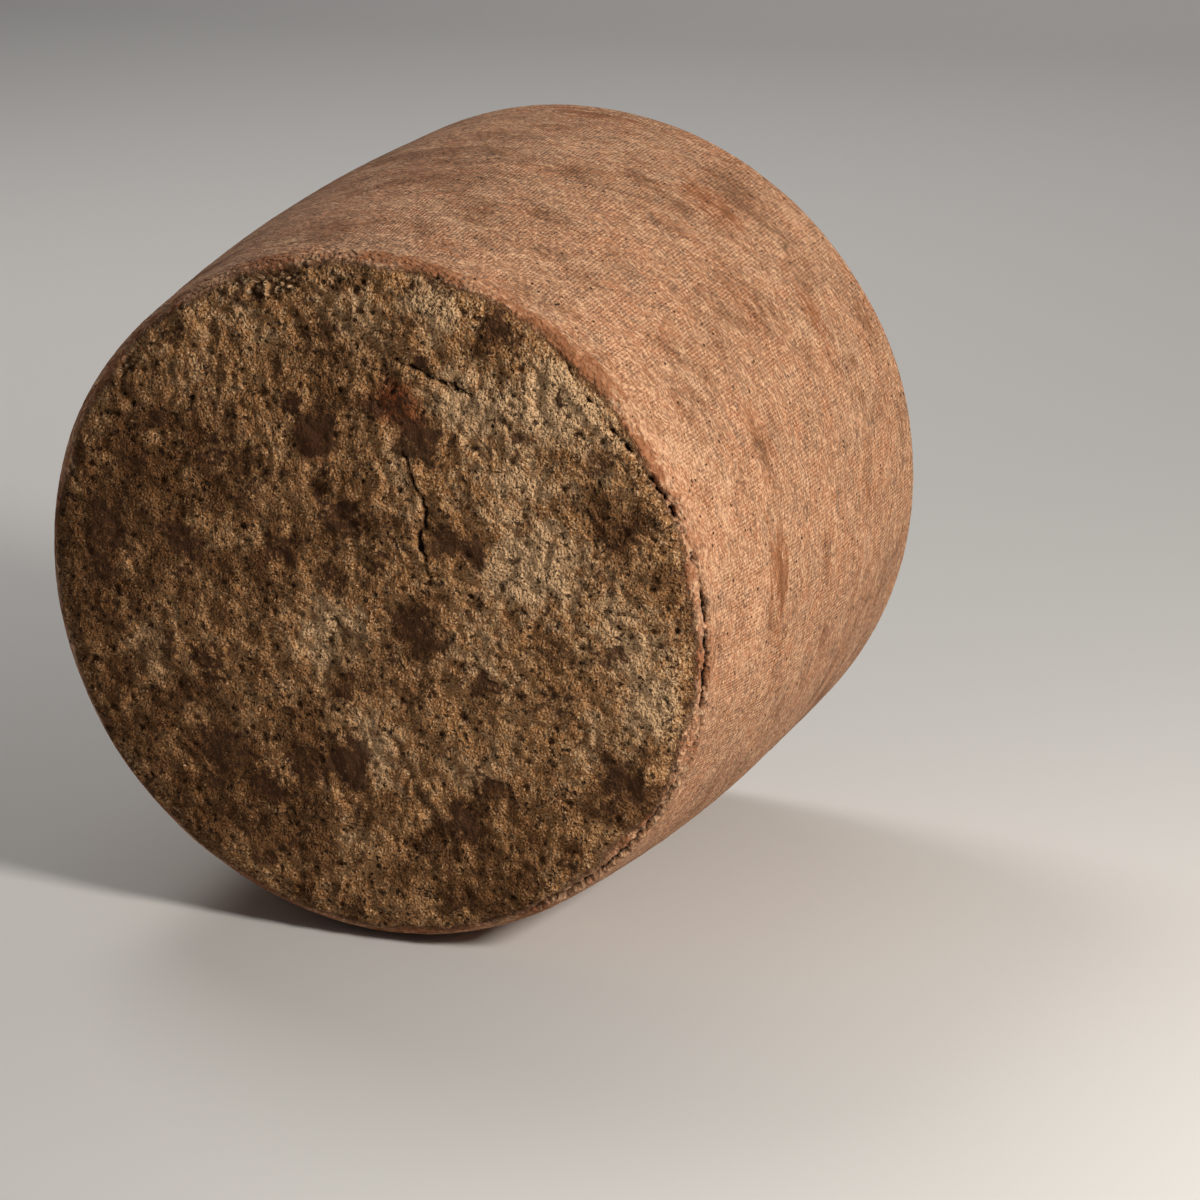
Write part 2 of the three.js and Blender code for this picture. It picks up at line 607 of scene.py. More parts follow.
@dataclass
class EndCrust:
    """The rough bare crust of one end face: its lumps, grain, pits, cracks, mould and bloom."""

    end: End
    seed: int
    edge_reach: float  # where the crust stops, along the skin from the face's centre
    mould: Sequence[Patch] = ()
    umber: Sequence[Patch] = ()
    bloom: Sequence[Patch] = ()
    rust: Sequence[Patch] = ()
    cracks: Sequence[Crack] = ()
    edge_wander: float = 5.0 * MM
    edge_softness: float = 5.0 * MM
    swell: float = 1.2 * MM
    hummock_height: float = 3.2 * MM
    lump_height: float = 1.5 * MM
    grain_height: float = 0.5 * MM
    pit_spacing: float = 8 * MM
    pit_depth: float = 2.6 * MM
    slit_depth: float = 1.5 * MM
    margin: float = 24 * MM  # how far past its edge the crust is worked out
    raggedness: float = 1.6 * MM
    grain_spacing: float = 4.4 * MM
    slit_spacing: float = 5.2 * MM
    slit_slant: float = math.radians(-58)

    def shape(self, skin: Skin) -> None:
        """Adds the crust's relief and marks to the skin.

        Args:
            skin: The skin, whose heights and marks are changed.
        """
        noise = Noise(self.seed)
        reach = skin.reach(self.end)
        near = np.flatnonzero(reach < self.edge_reach + self.margin)
        places = skin.places[near]
        wander = self.edge_wander * noise.layers(places, 45 * MM, 3)
        ragged = self.raggedness * noise.layers(places, 8 * MM, 3, 0.6)
        inside = self.edge_reach + wander + ragged - reach[near]
        crust = smooth_step(-self.edge_softness, self.edge_softness, inside)
        skin.mark(Mark.CRUST, crust, near)
        self._frame(skin, noise, near, inside)

        flat = self._warped(noise, places)
        mould = self._patches(noise, flat, places, self.mould, 0.4)
        mould = np.maximum(mould, self._flecks(noise, places))
        skin.mark(Mark.MOULD, mould * crust, near)
        for mark, patches in (
            (Mark.UMBER_AND_SHADE, self.umber),
            (Mark.BLOOM, self.bloom),
            (Mark.RUST, self.rust),
        ):
            skin.mark(mark, crust * self._patches(noise, flat, places, patches, 0.8), near)

        felt = 1 - 0.7 * mould
        skin.raise_by(crust * self._lumps(noise, places) * (0.4 + 0.6 * felt), near)
        skin.raise_by(crust * felt * self._grain(noise, places), near)
        # Pits and slits sink the relief and get painted shade inside.
        for depth, dark in (self._pits(noise, places, felt), self._slits(noise, places, felt)):
            skin.raise_by(-depth * crust, near)
            skin.mark(Mark.HOLLOW_SHADE, dark * crust, near)
        self._cut_cracks(skin, noise, near)

    def _frame(self, skin: Skin, noise: Noise, near: Array, inside: Array) -> None:
        """Marks the smooth brown band that frames the crust.

        Args:
            skin: The skin.
            noise: Makes the band uneven.
            near: The vertices close to the crust.
            inside: How far inside the crust's edge each is.
        """
        places = skin.places[near]
        middle = -3 * MM + 4 * MM * noise.layers(places + 2.7, 30 * MM, 2)
        uneven = 0.40 + 2.2 * noise.layers(places + 6.1, 50 * MM, 4, 0.62)
        band = bell(inside - middle, 7 * MM) * np.clip(uneven, 0.0, 1)
        skin.mark(Mark.STAIN, 0.7 * band, near)

    def _warped(self, noise: Noise, places: Array) -> Array:
        """Bends places on the face, so that placed patches lose their roundness.

        Args:
            noise: Bends them.
            places: Where, in metres.

        Returns:
            Across and up, in millimetres.
        """
        bends = [
            9.0 * noise.layers(places + shift, 30 * MM, 2) + 3.5 * noise.layers(places - shift, 9 * MM, 2)
            for shift in (3.3, 5.9)
        ]
        return MM_IN_METRE * places[:, [0, 2]] + np.stack(bends, axis=1)

    def _patches(
        self, noise: Noise, flat: Array, places: Array, patches: Sequence[Patch], soft: float
    ) -> Array:
        """How much each point is inside any of some patches.

        Args:
            noise: Makes the outlines ragged.
            flat: Across and up, in millimetres.
            places: Where, in metres.
            patches: The patches.
            soft: How soft the edges are, as a share of each radius.

        Returns:
            A share from 0 to 1 for each point.
        """
        share = np.zeros(len(flat))
        if not patches:
            return share
        ragged = 0.75 * noise.layers(places + 3.1, 9 * MM, 4, 0.62)
        for patch in patches:
            away = np.hypot(flat[:, 0] - patch.across, flat[:, 1] - patch.up)
            inside = smooth_step(1 + soft, 1 - soft, away / patch.radius + ragged)
            share = np.maximum(share, patch.strength * inside)
        return share

    def _flecks(self, noise: Noise, places: Array) -> Array:
        """Scattered faint blots between the placed mould patches.

        Args:
            noise: Places them.
            places: Where, in metres.

        Returns:
            A share from 0 to 0.75 for each point.
        """
        blots = noise.layers(places + 7.2, 24 * MM, 5, 0.62)
        crowd = noise.layers(places + 8.4, 80 * MM, 2)
        return 0.75 * smooth_step(0.20, 0.36, blots + 0.22 * crowd)

    def _lumps(self, noise: Noise, places: Array) -> Array:
        """Broad swells, creased hummocks, and lumps the size of a fingertip.

        Args:
            noise: Shapes them.
            places: Where, in metres.

        Returns:
            Height in metres for each point.
        """
        swell = self.swell * noise.layers(places + 0.7, 90 * MM, 2)
        bent = places + 8 * MM * np.stack(
            [noise.layers(places + shift, 20 * MM, 2) for shift in (2.2, 4.4, 6.6)], axis=1
        )
        creased = np.abs(noise.layers(bent + 1.9, 24 * MM, 2)) ** 0.7
        lumps = noise.layers(bent, 12 * MM, 2) + 0.7 * noise.layers(places + 1.3, 5 * MM, 2)
        return swell + self.hummock_height * (creased - 0.35) + self.lump_height * lumps

    def _grain(self, noise: Noise, places: Array) -> Array:
        """Curd-like grains a few millimetres wide.

        Args:
            noise: Places them.
            places: Where, in metres.

        Returns:
            Height in metres for each point.
        """
        away, _ = noise.cells(places, self.grain_spacing)
        grains = 1.2 * (0.55 - away)
        return self.grain_height * (grains + noise.layers(places + 5.3, 3.6 * MM, 1))

    def _pits(self, noise: Noise, places: Array, felt: Array) -> tuple[Array, Array]:
        """Scattered pits of uneven outline.

        Args:
            noise: Places them.
            places: Where, in metres.
            felt: How much shows through mould.

        Returns:
            Depth in metres, and darkness that paints shade inside the pits.
        """
        away, number = noise.cells(places + 2.3, self.pit_spacing)
        away = away + 0.16 * noise.layers(places + 4.7, 3.5 * MM, 2)
        radius = 0.14 + 0.2 * np.clip(number * 1.6 - 0.6, 0, 1)
        present = (number > 0.4) * felt
        pit = present * smooth_step(1.0, 0.3, away / radius)
        return self.pit_depth * (0.35 + 0.65 * number) * pit, 0.6 * pit * number

    def _slits(self, noise: Noise, places: Array, felt: Array) -> tuple[Array, Array]:
        """Short slanting slits, in clusters.

        Args:
            noise: Places them.
            places: Where, in metres.
            felt: How much shows through mould.

        Returns:
            Depth in metres, and darkness that paints shade inside the slits.
        """
        level, steep = math.cos(self.slit_slant), math.sin(self.slit_slant)
        along = places[:, 0] * level + places[:, 2] * steep
        aside = -places[:, 0] * steep + places[:, 2] * level
        bend = 2.2 * MM * noise.layers(places + 8.8, 14 * MM, 2)
        drawn = np.stack([along * 0.3, places[:, 1], aside + bend], axis=1)
        away, number = noise.cells(drawn + 4.1, self.slit_spacing)
        cluster = smooth_step(-0.2, 0.25, noise.layers(places + 6.6, 55 * MM, 2))
        slit = (number > 0.48) * cluster * felt * smooth_step(0.24, 0.07, away)
        return self.slit_depth * slit, slit * 0.7

    def _cut_cracks(self, skin: Skin, noise: Noise, near: Array) -> None:
        """Cuts the placed cracks and grooves.

        Args:
            skin: The skin.
            noise: Roughens them.
            near: The vertices close to the crust.
        """
        places = skin.places[near]
        jitter = [noise.layers(places + shift, 9 * MM, 3, 0.65) for shift in (0.4, 9.4)]
        flat = MM_IN_METRE * places[:, [0, 2]] + 3.2 * np.stack(jitter, axis=1)
        uneven = 1 + 1.1 * noise.layers(places + 7.7, 8 * MM, 2)
        for crack in self.cracks:
            relative = distance_to_route(flat, crack.route) / np.maximum(crack.width * uneven, 0.3)
            cut = bell(relative, 1.3)
            skin.raise_by(-crack.depth * MM * cut, near)
            # Painted shade inside the crack, as much as its dark share.
            skin.mark(Mark.HOLLOW_SHADE, crack.dark * cut, near)
            if crack.dark > 0.5:
                skin.open_gap(relative, near)


@dataclass
class SideRind:
    """The cloth-marked side: gentle dents, cloth folds, pores and stains."""

    seed: int
    patches: Sequence[SidePatch] = ()
    swell: float = 1.5 * MM
    fold_height: float = 0.28 * MM
    dimple_height: float = 0.16 * MM
    pore_spacing: float = 9 * MM
    pore_depth: float = 1.4 * MM

    def shape(self, skin: Skin) -> None:
        """Adds the side's relief and marks to the skin.

        Args:
            skin: The skin, whose heights and marks are changed.
        """
        noise = Noise(self.seed)
        places = skin.places
        side = 1 - skin.marks[Mark.CRUST]
        skin.raise_by(self.swell * noise.layers(places, 140 * MM, 2))
        folds = noise.layers(skin.stretched(0.25), 9 * MM, 3)
        dimples = noise.layers(places + 3.0, 6 * MM, 2)
        skin.raise_by(side * (self.fold_height * folds + self.dimple_height * dimples))
        away, number = noise.cells(places, self.pore_spacing)
        crowd = 0.72 - 0.25 * noise.layers(places + 1.0, 60 * MM, 2)
        radius = 0.07 + 0.09 * number
        pore = side * (number > crowd) * smooth_step(1.0, 0.3, away / radius)
        skin.raise_by(-self.pore_depth * pore)
        # Painted shade inside the pores.
        skin.mark(Mark.HOLLOW_SHADE, pore)
        self._stain(skin, noise)

    def _stain(self, skin: Skin, noise: Noise) -> None:
        """Marks the placed patches.

        Args:
            skin: The skin.
            noise: Makes the outlines ragged.
        """
        station = skin.places[:, 1] * MM_IN_METRE
        radius = np.hypot(skin.places[:, 0], skin.places[:, 2]) * MM_IN_METRE
        wander = 0.9 * noise.layers(skin.stretched(0.5) + 2.0, 13 * MM, 4, 0.62)
        for patch in self.patches:
            turn = wrapped(skin.angle - patch.angle)
            round_wheel = np.radians(turn) * radius / (patch.length / 2)
            along = (station - patch.station) / (patch.width / 2)
            away = np.hypot(round_wheel, along) + wander
            skin.mark(patch.mark, patch.strength * smooth_step(1.7, 0.0, away))


@dataclass
class RimSeam:
    """The seam that the press left round a rim: a crack where it gapes, a crease elsewhere."""

    end: End
    seed: int
    face_reach: float  # from the face's centre to its edge
    route: Sequence[tuple[float, float, float]]  # degrees, mm beyond the face's edge, and openness
    crease_reach: float = 17.0  # mm beyond the face's edge, elsewhere
    width: float = 0.95 * MM
    depth: float = 3.8 * MM
    crease_depth: float = 0.5 * MM
    lip_height: float = 0.8 * MM
    band_middle: float = 18 * MM  # beyond the face's edge, of the band that is worked on
    band_reach: float = 34 * MM  # half that band's width

    def shape(self, skin: Skin) -> None:
        """Cuts the seam into the skin.

        Args:
            skin: The skin, whose heights and marks are changed.
        """
        noise = Noise(self.seed)
        reach = skin.reach(self.end)
        near = np.flatnonzero(np.abs(reach - self.face_reach - self.band_middle) < self.band_reach)
        places, angle = skin.places[near], skin.angle[near]
        ring = np.stack([places[:, 0], np.zeros(len(near)), places[:, 2]], axis=1)
        line, gape, openness = self._line(angle)
        line = line + 2.5 * MM * (1 - gape) * noise.layers(ring, 90 * MM, 2)
        line = line + 1.2 * MM * noise.layers(ring + 0.4, 12 * MM, 4, 0.65)
        away = reach[near] - line
        crumb, hole = self._crumbs(noise, places)
        dashes = noise.layers(ring + 0.9, 7 * MM, 3, 0.6)
        opened = gape * smooth_step(0.2 - 0.65 * openness, 0.5 - 0.65 * openness, dashes)
        crease = (1 - gape) * smooth_step(-0.1, 0.3, noise.layers(ring + 1.4, 60 * MM, 3, 0.6))
        uneven = np.clip(1 + 1.3 * noise.layers(places + 4.0, 4 * MM, 2), 0.35, 2.2)
        width = self.width * uneven * (0.4 + 0.9 * opened * (0.3 + 0.7 * openness))
        cut = bell(away, 1.4 * width)
        lip = bell(away + 4.5 * MM, 2.8 * MM) * (0.3 + 0.7 * gape)
        outer = bell(away - 3.2 * MM, 1.8 * MM) * gape
        relief = self.lip_height * (lip + 0.6 * outer)
        relief -= (self.depth * opened + self.crease_depth * (0.6 * gape + crease)) * cut * (1 - 0.7 * crumb)
        band = gape * np.clip(0.2 + 0.8 * openness, 0, 1) * bell(away, 3.2 * MM)
        relief += band * (0.9 * MM * crumb - 1.8 * MM * hole)
        skin.raise_by(relief, near)
        # Painted shade inside the open seam and its holes; the crumbs are pale bared cheese.
        skin.mark(Mark.HOLLOW_SHADE, cut * (1 - crumb) * np.clip(opened + 0.3 * crease, 0, 1), near)
        skin.mark(Mark.HOLLOW_SHADE, 0.9 * band * hole, near)
        skin.mark(Mark.FRESH, 0.8 * band * crumb, near)
        skin.open_gap(np.abs(away) / width + 3.0 * (1 - opened) + 2.2 * crumb, near)

    def _crumbs(self, noise: Noise, places: Array) -> tuple[Array, Array]:
        """Where crumbs and small holes lie along the seam.

        Args:
            noise: Places them.
            places: Where, in metres.

        Returns:
            A share from 0 to 1 for crumbs, and one for holes.
        """
        distance, number = noise.cells(places, 3.6 * MM)
        crowd = smooth_step(-0.45, 0.1, noise.layers(places + 2.0, 18 * MM, 2))
        crumb = crowd * (number > 0.6) * smooth_step(0.5, 0.25, distance)
        hole = crowd * (number < 0.28) * smooth_step(0.55, 0.2, distance)
        return crumb, hole

    def _line(self, angle: Array) -> tuple[Array, Array, Array]:
        """Where the seam runs at some angles.

        Args:
            angle: Degrees round the axis.

        Returns:
            Its reach in metres, 1 along the route, and how open it is there.
        """
        first, last = self.route[0][0], self.route[-1][0]
        middle = (first + last) / 2
        turn = wrapped(angle - middle) + middle
        angles, reaches, opens = (np.array(column) for column in zip(*self.route))
        placed, openness = np.interp(turn, angles, reaches), np.interp(turn, angles, opens)
        gape = smooth_step(first - 9, first + 6, turn) * smooth_step(last + 9, last - 6, turn)
        reach = self.face_reach + MM * (gape * placed + (1 - gape) * self.crease_reach)
        return reach, gape, openness


@dataclass
class RimChip:
    """A crumbled nick on a rim, where the rind has broken away from pale cheese."""

    end: End
    seed: int
    reach: float
    angle: float
    size: float  # half its length round the rim
    steepness: float = 0.22  # its depth as a share of its size
    crumb_spacing: float = 2.8 * MM

    def shape(self, skin: Skin) -> None:
        """Breaks the nick out of the skin.

        Args:
            skin: The skin, whose heights and marks are changed.
        """
        noise = Noise(self.seed)
        reach = skin.reach(self.end)
        turn = wrapped(skin.angle - self.angle)
        radius = np.hypot(skin.places[:, 0], skin.places[:, 2])
        along = np.radians(turn) * radius
        across = reach - self.reach
        near = np.flatnonzero(np.hypot(along, across) < 3 * self.size)
        places = skin.places[near]
        ragged = 0.55 * noise.layers(places, 9 * MM, 3, 0.65)
        away = np.hypot(along[near] / self.size, across[near] / (0.5 * self.size)) + ragged
        inside = smooth_step(1.1, 0.7, away)
        distance, number = noise.cells(places, self.crumb_spacing)
        distance = distance + 0.35 * noise.layers(places + 2.0, 3 * MM, 2)
        crumbs = smooth_step(0.62, 0.25, distance) * (0.2 + 0.8 * number)
        skin.raise_by(inside * self.steepness * self.size * (1.1 * crumbs - 0.9), near)
        # Painted shade between the nick's crumbs.
        skin.mark(Mark.HOLLOW_SHADE, 0.7 * inside * smooth_step(0.55, 0.85, distance), near)
        skin.mark(Mark.FRESH, 0.85 * inside * crumbs, near)


class Value:
    """A shader socket that Python's operators work on, one Math node each."""

    def __init__(self, sheet: "NodeSheet", socket: bpy.types.NodeSocket) -> None:
        """Wraps an output socket of a sheet's node."""
        self.sheet = sheet
        self.socket = socket

    def _math(self, operation: str, *inputs: "Value | float", clamp: bool = False) -> "Value":
        """A Math node's result."""
        settings = {"operation": operation, "use_clamp": clamp}
        return self.sheet.node("ShaderNodeMath", settings, dict(enumerate(inputs)))

    def __add__(self, other: "Value | float") -> "Value":
        """self + other."""
        return self._math("ADD", self, other)

    __radd__ = __add__

    def __sub__(self, other: "Value | float") -> "Value":
        """self - other."""
        return self._math("SUBTRACT", self, other)

    def __rsub__(self, other: float) -> "Value":
        """other - self."""
        return self._math("SUBTRACT", other, self)

    def __mul__(self, other: "Value | float") -> "Value":
        """self * other."""
        return self._math("MULTIPLY", self, other)

    __rmul__ = __mul__

    def most(self, other: "Value | float") -> "Value":
        """The larger of two values."""
        return self._math("MAXIMUM", self, other)

    def held(self) -> "Value":
        """The value, held between 0 and 1."""
        return self._math("ADD", self, 0.0, clamp=True)

    def sine(self) -> "Value":
        """The sine of the value."""
        return self._math("SINE", self)

    def turn_to(self, across: "Value") -> "Value":
        """The angle whose tangent is self over across, all the way round."""
        return self._math("ARCTAN2", self, across)

    def graded(self, low: float, high: float) -> "Value":
        """Rises smoothly from 0 at low to 1 at high.

        Args:
            low: Where the rise starts. It may be above high, for a fall.
            high: Where the rise ends.

        Returns:
            The graded value.
        """
        turned = low > high
        ends = {1: min(low, high), 2: max(low, high), 3: float(turned), 4: float(not turned)}
        settings = {"interpolation_type": "SMOOTHSTEP"}
        return self.sheet.node("ShaderNodeMapRange", settings, {0: self, **ends})


class NodeSheet:
    """A material's nodes, and the one way in which they are added."""

    def __init__(self, name: str) -> None:
        """Starts an empty material.

        Args:
            name: The material's name.
        """
        self.material = bpy.data.materials.new(name)
        self.material.use_nodes = True
        self.tree = self.material.node_tree
        self.tree.nodes.clear()

    def _add(
        self, kind: str, settings: dict[str, Any], sockets: dict[str | int, Any]
    ) -> bpy.types.Node:
        """Adds a node.

        Args:
            kind: The node's type.
            settings: Its properties, set before its sockets.
            sockets: A value or a link for each input, by name or number.

        Returns:
            The node.
        """
        made = self.tree.nodes.new(kind)
        for key, value in settings.items():
            setattr(made, key, value)
        for key, value in sockets.items():
            if isinstance(value, Value):
                self.tree.links.new(value.socket, made.inputs[key])
            else:
                made.inputs[key].default_value = value
        return made

    def node(
        self,
        kind: str,
        settings: dict[str, Any],
        sockets: dict[str | int, Any],
        output: str | int = 0,
    ) -> Value:
        """Adds a node and takes one of its outputs.

        Args:
            kind: The node's type.
            settings: Its properties, set before its sockets.
            sockets: A value or a link for each input, by name or number.
            output: Which output to return, by name or number.

        Returns:
            That output.
        """
        return Value(self, self._add(kind, settings, sockets).outputs[output])

    def attribute(self, name: str, output: str) -> Value:
        """What a mesh attribute holds at the shaded point."""
        settings = {"attribute_type": "GEOMETRY", "attribute_name": name}
        return self.node("ShaderNodeAttribute", settings, {}, output)

    def mark(self, mark: Mark) -> Value:
        """A mark's share at the shaded point."""
        return self.attribute(mark.value, "Fac")

    def part(self, vector: Value, axis: str) -> Value:
        """One of a vector's three numbers."""
        return self.node("ShaderNodeSeparateXYZ", {}, {0: vector}, axis)

    def scaled(self, vector: Value, factors: tuple[float, float, float]) -> Value:
        """A vector, stretched along each axis."""
        return self.node("ShaderNodeVectorMath", {"operation": "MULTIPLY"}, {0: vector, 1: factors})

    def slanted(self, where: Value, angle: float, share: float) -> Value:
        """A place, squeezed along a slanting line across the end faces, so marks are drawn out."""
        turned = self.node(
            "ShaderNodeVectorRotate", {"rotation_type": "Y_AXIS"}, {"Vector": where, "Angle": angle}
        )
        return self.scaled(turned, (share, 1.0, 1.0))

    def noise(self, where: Value, wavelength: float, detail: float = 3.0, rough: float = 0.55) -> Value:
        """Cloudy noise, from about 0 to 1, with a wavelength in metres."""
        sockets = {"Vector": where, "Scale": 1 / wavelength, "Detail": detail, "Roughness": rough}
        return self.node("ShaderNodeTexNoise", {"noise_dimensions": "3D"}, sockets, 0)

    def grains(self, where: Value, spacing: float, output: str = "Distance") -> Value:
        """Distance to the nearest of many scattered spots, as a share of their spacing."""
        sockets = {"Vector": where, "Scale": 1 / spacing}
        return self.node("ShaderNodeTexVoronoi", {"feature": "F1"}, sockets, output)

    def bent(self, where: Value, wavelength: float, amount: float) -> Value:
        """A place, pushed about by noise.

        Args:
            where: The place.
            wavelength: The noise's, in metres.
            amount: How far it pushes, in metres.

        Returns:
            The pushed place.
        """
        sockets = {"Vector": where, "Scale": 1 / wavelength, "Detail": 2.0}
        push = self.node("ShaderNodeTexNoise", {"noise_dimensions": "3D"}, sockets, 1)
        factors = (2 * amount, 2 * amount, 2 * amount)
        settings = {"operation": "MULTIPLY_ADD"}
        return self.node("ShaderNodeVectorMath", settings, {0: push, 1: factors, 2: where})

    def pits(self, where: Value, spacing: float, radius: float, share: float) -> Value:
        """Small scattered pits, 1 inside one.

        Args:
            where: The place.
            spacing: How far apart the spots are that may hold one, in metres.
            radius: A pit's radius as a share of that.
            share: What share of the spots holds one.

        Returns:
            A share from 0 to 1.
        """
        distance = self.grains(where, spacing)
        number = self.part(self.grains(where, spacing, "Color"), "X")
        kept = number.graded(1 - share - 0.02, 1 - share + 0.02)
        return kept * distance.graded(radius, 0.55 * radius)

    def mixed(self, share: Value | float, first: Any, second: Any, blend: str = "MIX") -> Value:
        """A colour between two others.

        Args:
            share: 0 for the first colour, and 1 for the second.
            first: A colour or a link to one.
            second: Another.
            blend: How the second lies over the first.

        Returns:
            The mixed colour.
        """
        settings = {"data_type": "RGBA", "blend_type": blend, "clamp_factor": True}
        return self.node("ShaderNodeMix", settings, {0: share, 6: first, 7: second}, 2)

    def finish(self, colour: Value, roughness: Value, height: Value, **fixed: float) -> bpy.types.Material:
        """Joins the shader up.

        Args:
            colour: The base colour.
            roughness: The roughness.
            height: Fine relief, in metres.
            **fixed: Values of the shader's other sockets, with underscores for spaces.

        Returns:
            The finished material.
        """
        bump = self.node("ShaderNodeBump", {}, {"Strength": 1.0, "Distance": 1.0, "Height": height})
        sockets: dict[str | int, Any] = {"Base Color": colour, "Roughness": roughness, "Normal": bump}
        sockets.update({key.replace("_", " "): value for key, value in fixed.items()})
        shader = self.node("ShaderNodeBsdfPrincipled", {}, sockets)
        self.surface(shader)
        return self.material

    def surface(self, shader: Value) -> None:
        """Sends a shader to the material's surface."""
        self._add("ShaderNodeOutputMaterial", {}, {"Surface": shader})


@dataclass(frozen=True)
class CrustFinish:
    """Colours and fine relief of the bare end faces."""

    ochre: Colour = (0.460, 0.240, 0.102, 1)
    umber: Colour = (0.235, 0.108, 0.042, 1)
    honey: Colour = (0.390, 0.188, 0.070, 1)
    khaki: Colour = (0.500, 0.310, 0.160, 1)
    grey: Colour = (0.620, 0.395, 0.215, 1)
    # pale crumb; on grain tops it is also a painted highlight
    crumb: Colour = (0.840, 0.590, 0.360, 1)
    # painted shade in the gaps between grains
    grain_gap_shade: Colour = (0.080, 0.033, 0.012, 1)
    chocolate: Colour = (0.062, 0.027, 0.013, 1)
    rust: Colour = (0.240, 0.060, 0.020, 1)
    shade: Colour = (0.310, 0.255, 0.205, 1)  # multiplies the colours under it; partly painted shade, darkening the front face towards its left
    slit_slant: float = math.radians(-60)

    def colour(self, sheet: NodeSheet, where: Value, grain: Value) -> Value:
        """The crust's colour, before painted shade darkens its pits, cracks and seams.

        Args:
            sheet: The material's nodes.
            where: The place.
            grain: The fine grain, from 0 to 1, whose tops get a painted highlight, partly pale crumb, and
                whose gaps get painted shade.

        Returns:
            The colour.
        """
        bent = sheet.bent(where, 12 * MM, 4 * MM)
        broad = sheet.noise(bent, 42 * MM, 5, 0.62)
        cloud = (broad * 2.4 + sheet.noise(bent, 11 * MM, 3, 0.68) * 2.2 - 1.8).graded(0.0, 1.0)
        base = sheet.mixed(cloud, self.umber, self.ochre)
        base = sheet.mixed(broad.graded(0.53, 0.42) * 0.6, base, self.honey)
        moss = sheet.noise(bent, 5 * MM, 2, 0.65)
        base = sheet.mixed(moss.graded(0.50, 0.66) * 0.6, base, self.khaki)
        base = sheet.mixed(moss.graded(0.46, 0.34) * 0.6, base, self.umber)
        bloom = sheet.mark(Mark.BLOOM)
        dust = (bloom * 1.3 + broad * 1.8 + moss * 1.8 - 2.2).graded(0.0, 0.8)
        base = sheet.mixed(dust * 0.9, base, self.grey)
        # Painted highlight on the grain's tops, partly pale crumb, and painted shade in the gaps between
        # grains.
        base = sheet.mixed(grain.graded(0.55, 0.74) * 0.75, base, self.crumb)
        base = sheet.mixed(grain.graded(0.45, 0.27) * 0.95, base, self.grain_gap_shade)
        ragged = sheet.noise(where, 2.4 * MM, 3, 0.65) * 2.6 - 1.3
        patchy = sheet.noise(bent, 20 * MM, 5, 0.66) * 5 - 2.55
        # The umber mark, mould halos and random patches darken the crust: partly its own darker tone, partly
        # painted shade towards the face's left.
        stain_and_shade = sheet.mark(Mark.UMBER_AND_SHADE) * 0.85 + sheet.mark(Mark.MOULD) * 0.6
        shade = (stain_and_shade + patchy + ragged * 0.25 - bloom * 0.6).graded(0.0, 0.8)
        base = sheet.mixed(shade * 0.9, base, self.shade, "MULTIPLY")
        base = sheet.mixed(sheet.mark(Mark.RUST) * 0.8, base, self.rust)
        mould = (sheet.mark(Mark.MOULD) + ragged * 0.7 + moss * 2.6 - 1.3).graded(0.2, 0.85)
        return sheet.mixed(mould * 0.9, base, self.chocolate)

    def pits(self, sheet: NodeSheet, where: Value) -> Value:
        """The pits and slits too small for the mesh.

        Args:
            sheet: The material's nodes.
            where: The place.

        Returns:
            A share from 0 to 1, 1 inside one.
        """
        bent = sheet.bent(where, 1.6 * MM, 2.0 * MM)
        small = sheet.pits(bent, 5.2 * MM, 0.29, 0.4)
        tiny = sheet.pits(bent, 2.6 * MM, 0.36, 0.26)
        drawn = sheet.slanted(bent, self.slit_slant, 0.3)
        crowd = sheet.noise(where, 30 * MM, 2).graded(0.42, 0.54)
        slits = sheet.pits(drawn, 4.2 * MM, 0.24, 0.55) * crowd
        return small.most(tiny * 0.9).most(slits) * (1 - sheet.mark(Mark.MOULD) * 0.85)

    def relief(self, sheet: NodeSheet, where: Value, grain: Value) -> Value:
        """The crust's finest grain.

        Args:
            sheet: The material's nodes.
            where: The place.
            grain: The fine grain, from 0 to 1.

        Returns:
            Its height in metres.
        """
        curd = sheet.grains(where, 1.9 * MM)
        felt = 1 - sheet.mark(Mark.MOULD) * 0.75
        return (grain * (1.45 * MM) - curd * (1.0 * MM)) * felt


